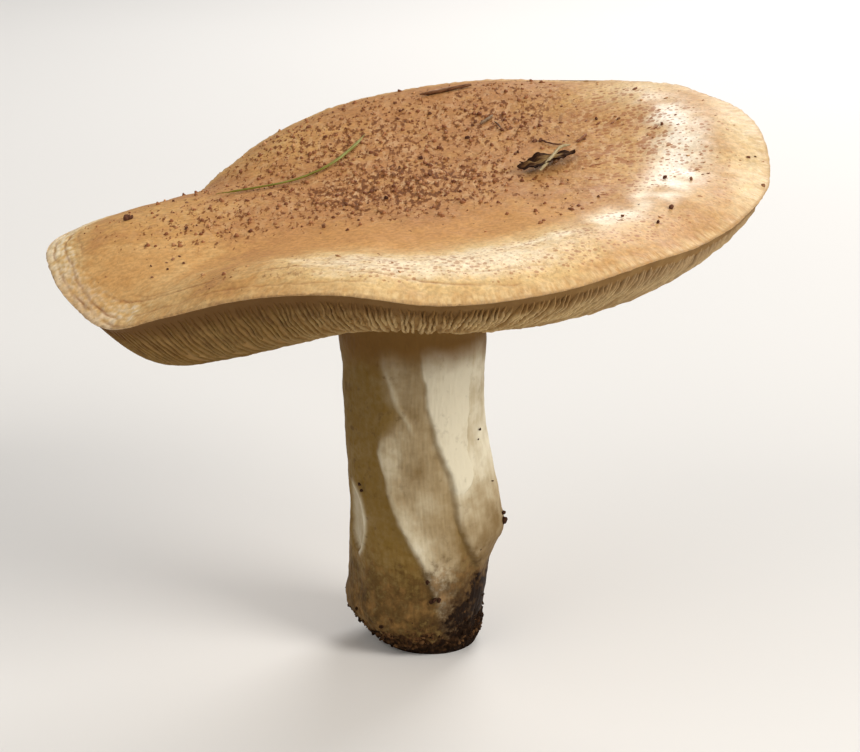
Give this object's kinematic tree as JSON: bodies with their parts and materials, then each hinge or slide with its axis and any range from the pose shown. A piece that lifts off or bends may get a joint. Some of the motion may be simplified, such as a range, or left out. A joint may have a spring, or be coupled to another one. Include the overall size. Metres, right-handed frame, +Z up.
{
  "type": "shiitake mushroom",
  "caption": "Picked wild mushroom: shallow saucer cap with a side lobe, crowded gills below, thick ridged stem with a soily cut foot, and loose forest litter on the cap.",
  "frame": {"origin": "middle of the flat cut foot of the stem, on the surface that the mushroom stands on", "axes": "+Z up along the stem; +X along the cap's longest way, away from its drooping lobe; +Y towards the high side of the cap, away from the side where the gills show"},
  "size_m": [0.108, 0.0959, 0.0819],
  "materials": {
    "cap_skin": "satin tan skin with fine reddish brown scales",
    "gills": "matt cream gills",
    "stem_skin": "matt fibrous cream skin, dark with soil at the foot",
    "grass": "satin olive green",
    "bark": "rough dark brown",
    "straw": "dry pale straw"
  },
  "bodies": {
    "root": {"mushroom": "cap_skin", "grass_blade": "grass", "bark_flake": "bark", "needle": "bark", "straw": "straw"}
  },
  "joints": []
}
